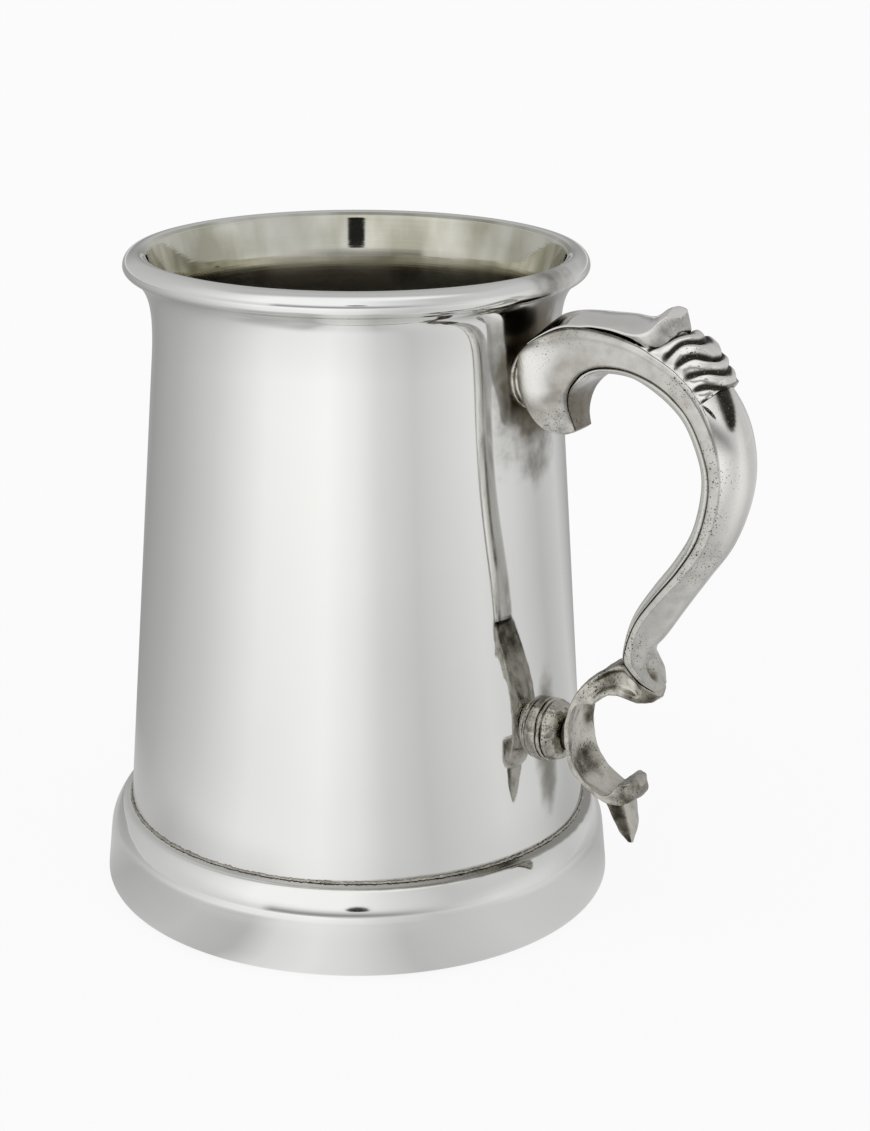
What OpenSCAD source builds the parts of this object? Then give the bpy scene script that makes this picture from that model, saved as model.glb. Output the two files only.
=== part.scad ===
// Pint tankard in polished pewter: a tapered drum on a deep foot band, with a cast double-scroll handle.
// Origin at the centre of the foot's resting ring, +Z up, handle towards +X.

/* [Drum] */
// Height from the table to the top of the rim
height = 125; // [104:1:150]
// Outer radius of the drum where it meets the foot band
drum_foot_r = 44.4; // [37:0.1:53.5]
// Outer radius of the drum at the neck, where the rim starts to flare
neck_r = 37.6; // [31:0.1:45.5]
// Thickness of the drum's wall
wall = 1.5; // [1.2:0.1:1.8]

/* [Rim] */
// How far the rim's widest line stands out from the neck
rim_out = 5.4; // [4.5:0.1:6.5]
// Drop from the rim's top to the neck
rim_drop = 13.4; // [11:0.1:16.5]
// Height over the neck at which the flare bends out
flare_up = 5.8; // [4.8:0.1:7]
// How far the wall has come out at that bend
flare_bow = 0.5; // [0.3:0.1:0.7]
// Width of the rim's rounded outer edge
rim_roll_w = 2.9; // [2:0.1:3.5]
// Height of the rim's rounded outer edge
rim_roll_h = 3.4; // [2.5:0.1:4.2]
// Width of the bevelled land inside the rim's highest line
rim_land = 1.3; // [1:0.1:1.6]
// Drop of that land from the rim's top to its inner edge
rim_bevel = 1.2; // [0.8:0.1:1.5]
// Height of the tongue that locates the rim ring in the drum's lip
tongue_h = 1; // [0.6:0.1:1.5]
// Width of that tongue
tongue_w = 1; // [0.8:0.1:1.3]

/* [Foot] */
// Height of the foot band, from the table to the drum's shoulder
foot_h = 17; // [14:0.1:20.5]
// How far the band's widest line stands out from the foot of the drum
foot_out = 5; // [4:0.1:6]
// Width of the rounding under the band's widest line
foot_round_w = 2.7; // [1.5:0.1:3.5]
// Height of that rounding
foot_round_h = 2.2; // [1.5:0.1:3]
// How far the band's side leans in on its way up
foot_lean = 0.8; // [0:0.1:1.2]
// Height of the convex shoulder at the top of the band's side
shoulder_h = 5.2; // [4:0.1:6]
// How far the shoulder turns in before it meets the ledge, in degrees
shoulder_turn = 65; // [50:1:85]
// Width of the small rounded ledge round the drum
ledge_w = 1.8; // [1.4:0.1:2.4]
// Height of that ledge
ledge_h = 0.6; // [0.4:0.1:1]
// Radial step of the drum's shoulder over its spigot
spigot_step = 0.6; // [0.4:0.1:0.8]
// Height of the seat for the base disc above the table
base_up = 6; // [4:0.1:7]
// Thickness of the base disc
base_t = 2.2; // [1.5:0.1:3]
// Depth of the hollow under the base disc
base_dish = 0.5; // [0.3:0.1:0.9]
// Width of the sloping edge of that hollow
base_slope = 2.2; // [1.5:0.1:3]
// Width of the seat for the base disc
base_seat_w = 3.4; // [2:0.1:5]
// Chamfer inside the resting ring
foot_chamfer = 0.8; // [0.3:0.1:1.2]
// Radius of the solder bead in the corner between drum and band
bead_r = 0.7; // [0.4:0.1:1]

/* [Handle] */
// How far the handle's back stands out from the saddle
handle_reach = 42; // [35:0.5:50]
// Greatest width of the handle
handle_w = 13; // [11:0.1:15.5]
// Drop from the neck to the middle of the hook's seat
hook_drop = 6; // [5:0.1:7.2]
// Height of the boss's middle above the table
boss_up = 39; // [32:0.5:47]
// Thickness of the saddle between drum and hook
saddle_t = 1.2; // [0.8:0.1:1.6]
// Height of the saddle
saddle_h = 11.6; // [9:0.1:12]
// Thickness of the leaf on top of the handle
leaf_t = 2.2; // [1.5:0.1:2.8]
// Bevel along the leaf's edges
leaf_edge = 0.7; // [0.4:0.1:0.8]
// Greatest thickness of the fluted calyx under the leaf's tip
calyx_t = 4.4; // [3:0.1:5]
// Number of flutes on the calyx
flutes = 5; // [3:1:7]
// Height of a flute's ridge
flute_h = 0.7; // [0.3:0.1:1]

/* [Boss] */
// Radius of the boss plate on the drum
plate_r = 6.3; // [5.8:0.1:8.3]
// Thickness of the boss plate
plate_t = 1.1; // [0.8:0.1:1.4]
// Rounding of the boss plate's edge
plate_round = 0.4; // [0.2:0.1:0.6]
// Greatest radius of the boss
boss_r = 6.2; // [5.6:0.1:8]
// Length of the boss without its neck
boss_len = 3; // [2.5:0.1:3.6]
// Length of the ring round the foot of the boss
boss_ring = 1; // [0.8:0.1:1.2]
// Step from that ring to the boss's dome
boss_step = 0.8; // [0.5:0.1:1]
// Radius of the neck that carries the lower scroll
boss_neck_r = 3; // [2.5:0.1:3.6]
// Radius of the pin through the boss plate
boss_pin_r = 2; // [1.5:0.1:2.4]

/* [Fits] */
// Thickness of the solder film between two pieces
solder_gap = 0.1; // [0.05:0.01:0.15]

/* [Hidden] */
$fn = 96;
arc_steps = 8;
crown_steps = 10;
bright = [0.85, 0.85, 0.84];
satin = [0.74, 0.73, 0.71];
dark_satin = [0.6, 0.59, 0.55];

neck_z = height - rim_drop;
rim_r = neck_r + rim_out;
rim_z = height - rim_roll_h;
rim_top_r = rim_r - rim_roll_w;
rim_in_r = rim_top_r - rim_land;
rim_in_z = height - rim_bevel;
lip_share = 0.8;
foot_r = drum_foot_r + foot_out;
ledge_r = drum_foot_r + ledge_w;
spigot_r = drum_foot_r - spigot_step;
socket_r = spigot_r + solder_gap;
base_hole_r = spigot_r - base_seat_w;
base_bottom = base_up + solder_gap;
drum_bottom = base_bottom + base_t + solder_gap;
hook_z = neck_z - hook_drop;
taper = atan((drum_foot_r - neck_r) / (neck_z - foot_h));

// The handle is drawn for these sizes, then stretched between its two seats on the drum
draw_span = 66.6;
draw_reach = 42;
draw_w = 13;
out_k = handle_reach / draw_reach;
up_k = (hook_z - boss_up) / draw_span;
width_k = handle_w / draw_w;

// Handle places are [out from the saddle, up from the boss]; the sole of the heel rests on the lower scroll
sole_toe = [22.6, 13.2];
sole_mid = [21.2, 14.9];
sole_heel = [19.3, 16.9];
sole_drop = 0.3;
c_back = 5.6;

// Rows of the upper scroll from the hook's tip to the heel's toe:
// seam out, seam up, arris out, arris up, half width, rise of the back, depth of the belly
scroll = [
    [9, 58.6, 8.2, 58, 2.9, 0.4, 0.3],
    [8.5, 60.6, 5.6, 57.5, 3.5, 0.6, 0.4],
    [8.4, 62.6, 2.6, 58.7, 4.4, 0.4, 0.5],
    [8.8, 64.6, 0.4, 61.8, 5.2, 0.1, 0.8],
    [9.6, 66.3, 0.1, 65, 6, 0, 1.3],
    [10.9, 68, 0.1, 68.4, 6.4, 0, 1.9],
    [12.4, 69.6, 1.2, 72, 6.5, 0, 2.3],
    [14.6, 70.8, 4.9, 75.5, 6.5, 0, 2.7],
    [17.2, 71.4, 9.8, 77.5, 6.5, 0, 2.9],
    [20.2, 71.5, 15.6, 77.6, 6.4, 0, 3],
    [23.2, 71, 21.7, 76.5, 6.3, 0, 3],
    [26.4, 69.9, 27.3, 74.1, 6.2, 0.2, 3],
    [29.5, 68, 31.7, 71.3, 6.1, 1.4, 3],
    [32.5, 65, 35, 67.4, 6, 2.8, 3],
    [34.7, 60.7, 37.3, 62.1, 5.9, 3.5, 3],
    [36.1, 55.4, 38.4, 55.9, 5.8, 3.3, 3],
    [35.7, 49.8, 37.8, 49.6, 5.7, 2.8, 3],
    [33.5, 43.2, 35.2, 42.4, 5.5, 2.4, 2.8],
    [29.6, 37.2, 30.8, 36.3, 5.3, 2.4, 2.5],
    [24.8, 31.4, 25.8, 30.7, 5.1, 3.2, 2.2],
    [21.1, 26.5, 22.1, 25.9, 4.9, 3.5, 1.9],
    [19.1, 22.2, 20.3, 22, 4.8, 2.7, 1.5],
    [18.2, 18.7, 19.9, 19.2, 4.7, 1.6, 1],
    [sole_heel[0], sole_heel[1], 20.5, 17.5, 4.7, 0.5, 0.5],
    [sole_mid[0], sole_mid[1], 21.8, 15.6, 4.2, 0.2, 0.4],
    [sole_toe[0], sole_toe[1], 22.9, 13.9, 2.5, 0.1, 0.3],
];
scroll_steps = 3;
belly_last = 22;
leaf_from = 6.67;
leaf_to = 9;
leaf_root = 0.4;
leaf_root_rows = 4;
calyx_from = 10;
calyx_to = 13;
calyx_root_t = 0.3;
calyx_full = 0.5;
calyx_end = 0.4;
calyx_edge = 0.25;

// Rows of the leaf's free tip: underside out and up, top out and up, half width
leaf_tip = [
    [18.6, 77.9, 18.5, 79.8, 6.3],
    [21.7, 76.8, 21.6, 79.6, 6.2],
    [24.4, 76.7, 24.2, 79.7, 5.9],
    [26.8, 77.1, 26.4, 80.4, 5.2],
    [28.8, 78.4, 28.3, 81.7, 4],
    [30.1, 80.3, 29.5, 82.8, 2],
];
tip_steps = 3;

// Rows of the lower scroll from its lip under the heel to its rolled end: back out, back up, inside out,
// inside up, half width
c_scroll = [
    [sole_toe[0], sole_toe[1] - sole_drop, 22, 10.8, 2.5],
    [sole_mid[0], sole_mid[1] - sole_drop, 20.4, 11, 4.2],
    [sole_heel[0], sole_heel[1] - sole_drop, 18.4, 11.4, 4.7],
    [17.9, 17.8, 16.1, 11.4, 4.7],
    [14.8, 16.4, 13.7, 10.7, 4.7],
    [11.4, 13.8, 11.7, 9, 4.7],
    [8.5, 10.5, 10.2, 6.8, 4.8],
    [6.5, 6.6, 9, 4.5, 4.9],
    [c_back, 3, 8.3, 2.2, 4.9],
    [c_back, -0.8, 8.2, -0.4, 4.9],
    [6.3, -4, 8.7, -2.9, 4.9],
    [8.3, -6.6, 9.9, -4.9, 4.8],
    [11.2, -8.6, 11.7, -6.6, 4.7],
    [14.1, -9.5, 14.2, -7, 4.6],
    [16.4, -9.6, 16.2, -6.6, 4.4],
    [17.9, -8.8, 17.1, -6, 3.9],
];
c_steps = 3;
c_edge = 0.5;
tail_edge = 1;

// Rows of the tail leaf from its root to its tip: drum side out and up, outer side out and up, half width
tail = [
    [11.5, -9.3, 16.2, -10, 2.9],
    [13.1, -12.6, 16.5, -12.4, 2.5],
    [14.3, -15.6, 16.6, -15, 1.8],
    [15.4, -18.2, 16.1, -18.2, 0.6],
];
tail_steps = 3;

function drum_r(z) = neck_r + (drum_foot_r - neck_r) * (neck_z - z) / (neck_z - foot_h);
function rim_bore_r(z) = neck_r - wall + (rim_in_r - neck_r + wall) * (z - neck_z) / (rim_in_z - neck_z);
function on_handle(q) =
    let (z = boss_up + q[1] * up_k)
    [drum_r(z) + saddle_t + q[0] * out_k, z];

// Points of an elliptical arc about a centre, from angle a0 to angle a1
function arc(centre, rx, rz, a0, a1) =
    [for (i = [0 : arc_steps])
        let (a = a0 + (a1 - a0) * i / arc_steps)
        centre + [rx * cos(a), rz * sin(a)]];

// The flare from the neck (t = 0) to the rim's widest line (t = 1)
function flare(t) =
    (1 - t) * (1 - t) * [neck_r, neck_z]
    + 2 * t * (1 - t) * [neck_r + flare_bow, neck_z + flare_up]
    + t * t * [rim_r, rim_z];

// A smooth run through rows of numbers, with a number of steps from each row to the next
function between(a, b, c, d, t) =
    b + 0.5 * t * (c - a + t * (2 * a - 5 * b + 4 * c - d + t * (3 * (b - c) + d - a)));
function smooth_rows(rows, steps) =
    let (last = len(rows) - 1)
    [
        for (i = [0 : last - 1], k = [0 : steps - 1])
            between(rows[max(i - 1, 0)], rows[i], rows[i + 1], rows[min(i + 2, last)], k / steps),
        rows[last],
    ];
function slice(list, from, to) = [for (i = [from : to]) list[i]];

// A point of a cross section: n along the section's own direction e, b across the handle
function section_point(p, e, n, b) = [p[0] + e[0] * n, b, p[1] + e[1] * n];

// Two rails of a row on the drawn handle, as [first point, second point, direction, distance, half width]
function rails(row) =
    let (p = on_handle([row[0], row[1]]), q = on_handle([row[2], row[3]]))
    [p, q, (q - p) / norm(q - p), norm(q - p), row[4] * width_k];

// Half an ellipse over a width of 2 a, as [rise, place across], from -Y to +Y
function crown(a, rise) =
    [for (i = [0 : crown_steps]) let (t = 180 * i / crown_steps) [rise * sin(t), -a * cos(t)]];

function back_ring(row) =
    let (s = rails(row), a = s[4], top = crown(a, row[5]))
    [
        section_point(s[0], s[2], solder_gap / 2, -a),
        for (q = top) section_point(s[0], s[2], s[3] + q[0], q[1]),
        section_point(s[0], s[2], solder_gap / 2, a),
    ];
function belly_ring(row) =
    let (s = rails(row), top = crown(s[4], row[6]))
    [for (i = [crown_steps : -1 : 0]) section_point(s[0], s[2], -solder_gap / 2 - top[i][0], top[i][1])];
function calyx_ring(row, thick) =
    let (s = rails(row), seat = s[3] + solder_gap, a = s[4] + solder_gap, edge = thick * calyx_edge)
    let (under = crown(a, row[5] + solder_gap), over = crown(a, row[5] + thick - edge))
    [
        for (q = over) section_point(s[0], s[2], seat + edge + q[0], q[1]),
        for (i = [crown_steps : -1 : 0]) section_point(s[0], s[2], seat + under[i][0], under[i][1]),
    ];

// A strap's ring between two rails, with its four long edges taken off
function strap_ring(p, q, a, edge) =
    let (t = norm(q - p), e = (q - p) / t, c = min(edge, t / 3, a / 3))
    [for (k = [[c, -a], [t - c, -a], [t, c - a], [t, a - c], [t - c, a], [c, a], [0, a - c], [0, c - a]])
        section_point(p, e, k[0], k[1])];

// Skin over rings that have the same number of points, closed at both ends by a ladder across the ring
module loft(rings) {
    n = len(rings[0]);
    last = len(rings) - 1;
    sides = [for (i = [0 : last - 1], j = [0 : n - 1])
        let (a = i * n + j, b = i * n + (j + 1) % n)
        each [[a, a + n, b], [b, a + n, b + n]]];
    first_cap = [for (j = [0 : floor((n - 3) / 2)])
        let (k = n - 1 - j)
        each (j + 1 < k - 1 ? [[j, j + 1, k], [j + 1, k - 1, k]] : [[j, j + 1, k]])];
    last_cap = [for (t = first_cap) [for (i = [2 : -1 : 0]) last * n + t[i]]];
    polyhedron([for (ring = rings) each ring], concat(sides, first_cap, last_cap));
}

// Turns children so that their +Z stands square on the drum's wall, on the handle's side
module on_wall(z) {
    translate([drum_r(z), 0, z]) rotate([0, 90 - taper, 0]) children();
}

// The space the drum fills, with the solder film round it
module drum_space() {
    film = solder_gap / cos(taper);
    rotate_extrude($fn = 360)
        polygon([[0, foot_h], [drum_foot_r + film, foot_h], [neck_r + film, neck_z], [0, neck_z]]);
}

module drum() {
    lip = flare(lip_share);
    lip_in = rim_bore_r(lip[1]);
    middle = (lip[0] + lip_in) / 2;
    shoulder = foot_h + solder_gap;
    color(bright) rotate_extrude() polygon(concat(
        [[spigot_r - wall, drum_bottom], [spigot_r, drum_bottom]],
        [[spigot_r, shoulder], [drum_foot_r, shoulder]],
        [for (i = [0 : arc_steps]) flare(lip_share * i / arc_steps)],
        [[middle + tongue_w / 2, lip[1]], [middle + tongue_w / 2, lip[1] - tongue_h]],
        [[middle - tongue_w / 2, lip[1] - tongue_h], [middle - tongue_w / 2, lip[1]]],
        [[lip_in, lip[1]], [neck_r - wall, neck_z], [drum_foot_r - wall, shoulder + wall]]
    ));
}

module rim_ring() {
    lip = flare(lip_share);
    seat = lip[1] + solder_gap;
    middle = (lip[0] + rim_bore_r(lip[1])) / 2;
    half = tongue_w / 2 - solder_gap;
    color(bright) rotate_extrude() polygon(concat(
        [[rim_bore_r(seat), seat], [middle - half, seat], [middle - half, seat - tongue_h]],
        [[middle + half, seat - tongue_h], [middle + half, seat], [lip[0] + solder_gap, seat]],
        [for (i = [1 : arc_steps - 1]) flare(lip_share + (1 - lip_share) * i / arc_steps)],
        arc([rim_top_r, rim_z], rim_roll_w, rim_roll_h, 0, 90),
        [[rim_in_r, rim_in_z]]
    ));
}

module foot_band() {
    side_r = foot_r - foot_lean;
    side_top = foot_h - ledge_h - shoulder_h;
    shoulder_rx = (side_r - ledge_r) / (1 - cos(shoulder_turn));
    shoulder_rz = shoulder_h / sin(shoulder_turn);
    color(bright) rotate_extrude() polygon(concat(
        [[base_hole_r + foot_chamfer, 0]],
        arc([foot_r - foot_round_w, foot_round_h], foot_round_w, foot_round_h, -90, 0),
        arc([side_r - shoulder_rx, side_top], shoulder_rx, shoulder_rz, 0, shoulder_turn),
        arc([drum_foot_r, foot_h - ledge_h], ledge_w, ledge_h, 0, 90),
        [[socket_r, foot_h], [socket_r, base_up], [base_hole_r, base_up], [base_hole_r, foot_chamfer]]
    ));
}

module solder_bead() {
    corner = [drum_foot_r + solder_gap, foot_h + solder_gap];
    color(dark_satin) rotate_extrude() polygon(concat([corner], arc(corner, bead_r, bead_r, 0, 90)));
}

module base_disc() {
    dish_r = base_hole_r - 2 * base_slope;
    color(satin) rotate_extrude() polygon([
        [0, base_bottom + base_dish], [dish_r, base_bottom + base_dish], [dish_r + base_slope, base_bottom],
        [spigot_r, base_bottom], [spigot_r, base_bottom + base_t], [0, base_bottom + base_t]
    ]);
}

module hook_saddle() {
    plate = saddle_t * cos(taper) - solder_gap;
    half_w = handle_w / 2;
    round_r = saddle_h / 2;
    color(dark_satin) difference() {
        on_wall(hook_z) translate([0, 0, -saddle_t]) linear_extrude(saddle_t + plate) {
            square([saddle_h, 2 * (half_w - round_r)], center = true);
            for (side = [-1, 1]) translate([0, side * (half_w - round_r)]) circle(round_r);
        }
        drum_space();
    }
}

module handle_back() {
    color(satin) loft([for (row = smooth_rows(scroll, scroll_steps)) back_ring(row)]);
}

module handle_belly() {
    rows = slice(smooth_rows(scroll, scroll_steps), 0, belly_last * scroll_steps);
    color(satin) loft([for (row = rows) belly_ring(row)]);
}

module thumb_leaf() {
    first = round(leaf_from * scroll_steps);
    rows = slice(smooth_rows(scroll, scroll_steps), first, leaf_to * scroll_steps);
    seated = [for (i = [0 : len(rows) - 1])
        let (s = rails(rows[i]), share = min(1, leaf_root + (1 - leaf_root) * i / leaf_root_rows))
        concat(s[1] + s[2] * solder_gap, s[1] + s[2] * (solder_gap + leaf_t * share), [s[4]])];
    free = [for (row = leaf_tip)
        concat(on_handle([row[0], row[1]]), on_handle([row[2], row[3]]), [row[4] * width_k])];
    tip = smooth_rows(concat([seated[len(seated) - 1]], free), tip_steps);
    run = concat(seated, slice(tip, 1, len(tip) - 1));
    color(satin) loft([for (r = run) strap_ring([r[0], r[1]], [r[2], r[3]], r[4], leaf_edge)]);
}

module leaf_calyx() {
    steps = 4 * scroll_steps;
    rows = slice(smooth_rows(scroll, steps), calyx_from * steps + scroll_steps, calyx_to * steps);
    last = len(rows) - 1;
    color(satin) loft([for (i = [0 : last])
        let (share = i / last, rise = min(1, share / calyx_full))
        let (fall = max(0, share - calyx_full) / (1 - calyx_full))
        let (swell = rise * rise * (1 - (1 - calyx_end) * fall))
        let (ridge = rise * abs(sin(180 * flutes * share)))
        calyx_ring(rows[i], calyx_root_t + calyx_t * swell + flute_h * ridge)]);
}

module boss_plate() {
    color(dark_satin) difference() {
        on_wall(boss_up) rotate_extrude() polygon(concat(
            [[boss_pin_r + solder_gap, -plate_t], [plate_r, -plate_t]],
            arc([plate_r - plate_round, plate_t - plate_round], plate_round, plate_round, 0, 90),
            [[boss_pin_r + solder_gap, plate_t]]
        ));
        drum_space();
    }
}

module boss() {
    seat = plate_t + solder_gap;
    neck_end = (saddle_t + c_back * out_k) * cos(taper) - 2 * solder_gap;
    half_ring = boss_ring / 2;
    dome_r = boss_r - boss_step;
    color(satin) difference() {
        on_wall(boss_up) rotate_extrude() polygon(concat(
            [[0, -plate_t], [boss_pin_r, -plate_t], [boss_pin_r, seat]],
            arc([boss_r - half_ring, seat + half_ring], half_ring, half_ring, -90, 45),
            arc([boss_neck_r, seat + boss_ring], dome_r - boss_neck_r, boss_len - boss_ring, 0, 90),
            [[boss_neck_r, neck_end], [0, neck_end]]
        ));
        drum_space();
    }
}

module lower_scroll() {
    color(satin) loft([for (row = smooth_rows(c_scroll, c_steps))
        let (s = rails(row))
        strap_ring(s[0], s[1], s[4], c_edge)]);
}

module tail_leaf() {
    color(dark_satin) loft([for (row = smooth_rows(tail, tail_steps))
        let (s = rails(row))
        strap_ring(s[0], s[1], s[4], tail_edge)]);
}

drum();
rim_ring();
foot_band();
solder_bead();
base_disc();
hook_saddle();
handle_back();
handle_belly();
thumb_leaf();
leaf_calyx();
boss_plate();
boss();
lower_scroll();
tail_leaf();
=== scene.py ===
import math
import bmesh
import bpy
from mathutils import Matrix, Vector, noise


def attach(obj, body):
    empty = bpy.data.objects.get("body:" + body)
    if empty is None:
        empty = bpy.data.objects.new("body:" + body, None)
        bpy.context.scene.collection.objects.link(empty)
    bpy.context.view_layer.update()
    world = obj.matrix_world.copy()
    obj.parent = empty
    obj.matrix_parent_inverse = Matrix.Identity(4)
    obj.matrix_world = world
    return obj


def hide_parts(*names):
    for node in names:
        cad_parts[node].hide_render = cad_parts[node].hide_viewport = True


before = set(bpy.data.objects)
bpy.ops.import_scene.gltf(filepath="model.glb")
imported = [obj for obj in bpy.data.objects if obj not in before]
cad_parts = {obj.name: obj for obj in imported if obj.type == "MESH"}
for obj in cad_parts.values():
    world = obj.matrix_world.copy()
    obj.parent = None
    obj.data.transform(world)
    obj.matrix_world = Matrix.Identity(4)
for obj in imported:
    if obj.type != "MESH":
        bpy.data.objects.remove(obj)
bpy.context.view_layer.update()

mm = 0.001

# sizes of the body, mm, from the axis and from the table
body = {
    "footRadius": 44.4, "footTop": 17, "neckRadius": 37.6, "neckUp": 111.6, "lipRadius": 41.22,
    "lipUp": 119.86, "wall": 1.5, "bossUp": 39, "hookUp": 105.6, "saddle": 1.2,
}
lean = (body["footRadius"] - body["neckRadius"]) / (body["neckUp"] - body["footTop"])


def wallRadius(z):
    return body["neckRadius"] + lean * (body["neckUp"] - z)


def mix(a, b, t):
    return a + (b - a) * t


def smooth(low, high, value):
    t = min(1, max(0, (value - low) / (high - low)))
    return t * t * (3 - 2 * t)


def line(start, end, steps):
    return [(mix(start[0], end[0], i / steps), mix(start[1], end[1], i / steps)) for i in range(steps + 1)]


def arc(centre, wide, tall, fromDeg, toDeg, steps):
    angles = [math.radians(mix(fromDeg, toDeg, i / steps)) for i in range(steps + 1)]
    return [(centre[0] + wide * math.cos(a), centre[1] + tall * math.sin(a)) for a in angles]


# a curve from a to d that leaves towards b and comes in from c
def sway(a, b, c, d, steps):
    points = []
    for i in range(steps + 1):
        t = i / steps
        k = ((1 - t) ** 3, 3 * t * (1 - t) ** 2, 3 * t * t * (1 - t), t ** 3)
        points.append(tuple(sum(w * p[j] for w, p in zip(k, (a, b, c, d))) for j in (0, 1)))
    return points


# rows in between, on a smooth curve through the given ones
def smoothRows(rows, steps):
    out = []
    last = len(rows) - 1
    for i in range(last):
        four = (rows[max(i - 1, 0)], rows[i], rows[i + 1], rows[min(i + 2, last)])
        for k in range(steps):
            t = k / steps
            out.append([q + 0.5 * t * (r - p + t * (2 * p - 5 * q + 4 * r - s + t * (3 * (q - r) + s - p)))
                        for p, q, r, s in zip(*four)])
    out.append(list(rows[last]))
    return out


# a closed outline of [out from the axis, along the axis] spun round the axis
def turned(name, outline, steps, centre=Vector((0, 0, 0)), axis=Vector((0, 0, 1)), out=Vector((1, 0, 0)),
           dull=None, sharp=32):
    bpy.ops.object.select_all(action="DESELECT")
    bpy.ops.mesh.primitive_circle_add(vertices=len(outline), radius=0.01, fill_type="NOTHING")
    piece = bpy.context.object
    piece.name = name
    bpy.ops.object.mode_set(mode="EDIT")
    mesh = bmesh.from_edit_mesh(piece.data)
    layer = mesh.verts.layers.float.new("tarnishAndPaintedLight")
    mesh.verts.ensure_lookup_table()
    for i, (r, h) in enumerate(outline):
        mesh.verts[i].co = (centre + out * r + axis * h) * mm
        mesh.verts[i][layer] = dull(r, h) if dull else 0
    bmesh.update_edit_mesh(piece.data)
    bpy.ops.mesh.select_all(action="SELECT")
    bpy.ops.mesh.spin(steps=steps, angle=2 * math.pi, center=centre * mm, axis=axis)
    bpy.ops.mesh.select_all(action="SELECT")
    bpy.ops.mesh.remove_doubles(threshold=0.000002)
    bpy.ops.mesh.delete_loose()
    bpy.ops.mesh.select_all(action="SELECT")
    bpy.ops.mesh.normals_make_consistent(inside=False)
    bpy.ops.object.mode_set(mode="OBJECT")
    bpy.ops.object.shade_smooth_by_angle(angle=math.radians(sharp))
    return piece


# rings of the same number of points, extruded one after the other; a ring is a list of (place, tarnish),
# where the tarnish also carries painted reflections and a painted highlight
def cast(name, rings, sharp=50):
    bpy.ops.object.select_all(action="DESELECT")
    bpy.ops.mesh.primitive_circle_add(vertices=len(rings[0]), radius=0.01, fill_type="NGON")
    piece = bpy.context.object
    piece.name = name
    bpy.ops.object.mode_set(mode="EDIT")
    bpy.ops.mesh.select_mode(type="FACE")
    mesh = bmesh.from_edit_mesh(piece.data)
    mesh.verts.layers.float.new("tarnishAndPaintedLight")
    bpy.ops.mesh.select_all(action="SELECT")
    for count, ring in enumerate(rings):
        if count:
            bpy.ops.mesh.extrude_region_move()
        mesh = bmesh.from_edit_mesh(piece.data)
        layer = mesh.verts.layers.float["tarnishAndPaintedLight"]
        end = [face for face in mesh.faces if face.select][0]
        for vert, (place, dull) in zip(end.verts, ring):
            vert.co = place * mm
            vert[layer] = dull
        bmesh.update_edit_mesh(piece.data)
    bpy.ops.mesh.select_all(action="SELECT")
    bpy.ops.mesh.normals_make_consistent(inside=False)
    bpy.ops.object.mode_set(mode="OBJECT")
    bpy.ops.object.shade_smooth_by_angle(angle=math.radians(sharp))
    return piece


# uneven skin of a rough casting, from lumps of (amount, size)
def lumpy(piece, lumps):
    verts = piece.data.vertices
    for amount, size in lumps:
        moved = [v.co + v.normal * amount * mm * noise.noise(v.co / (size * mm)) for v in verts]
        for vert, spot in zip(verts, moved):
            vert.co = spot


def place(piece, node, slot, material):
    piece.data.materials.clear()
    piece.data.materials.append(material)
    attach(piece, "root")
    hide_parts(node)


def put(tree, kind, inputs=None, **settings):
    node = tree.nodes.new(kind)
    for key, value in settings.items():
        setattr(node, key, value)
    for key, value in (inputs or {}).items():
        if isinstance(value, bpy.types.NodeSocket):
            tree.links.new(value, node.inputs[key])
        else:
            node.inputs[key].default_value = value
    return node


def maths(tree, operation, *values):
    return put(tree, "ShaderNodeMath", dict(enumerate(values)), operation=operation).outputs[0]


def vectors(tree, operation, *values):
    node = put(tree, "ShaderNodeVectorMath", dict(enumerate(values)), operation=operation)
    return node.outputs["Value" if operation in ("LENGTH", "DOT_PRODUCT") else "Vector"]


def ranged(tree, value, start, end, low=0.0, high=1.0, soft=False):
    inputs = {"Value": value, "From Min": start, "From Max": end, "To Min": low, "To Max": high}
    return put(tree, "ShaderNodeMapRange", inputs,
               interpolation_type="SMOOTHSTEP" if soft else "LINEAR").outputs[0]


def blended(tree, share, a, b, kind="FLOAT"):
    node = put(tree, "ShaderNodeMix", {"Factor": share, "A": a, "B": b}, data_type=kind)
    return node.outputs[2 if kind == "RGBA" else 0]


def clouds(tree, vector, scale, detail):
    return put(tree, "ShaderNodeTexNoise", {"Vector": vector, "Scale": scale, "Detail": detail}).outputs[0]


def heightOf(tree, vector):
    return put(tree, "ShaderNodeSeparateXYZ", {0: vector}).outputs["Z"]


# a node group that takes places and values and gives values
def newGroup(name, places, values, gives):
    tree = bpy.data.node_groups.new(name, "ShaderNodeTree")
    for labels, way, kind in ((places, "INPUT", "NodeSocketVector"), (values, "INPUT", "NodeSocketFloat"),
                              (gives, "OUTPUT", "NodeSocketFloat")):
        for label in labels:
            tree.interface.new_socket(name=label, in_out=way, socket_type=kind)
    return tree, tree.nodes.new("NodeGroupInput").outputs, tree.nodes.new("NodeGroupOutput").inputs


# fine rub marks round the body and soft smudges
def makeRubMarks():
    tree, takes, gives = newGroup("rubMarks", ["Place"], [], ["Lines", "Smudge"])
    flat = put(tree, "ShaderNodeMapping", {"Vector": takes["Place"], "Scale": (25, 25, 2600)}).outputs[0]
    tree.links.new(clouds(tree, flat, 1.0, 3.0), gives["Lines"])
    tree.links.new(clouds(tree, takes["Place"], 38.0, 5.0), gives["Smudge"])
    return tree


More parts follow.
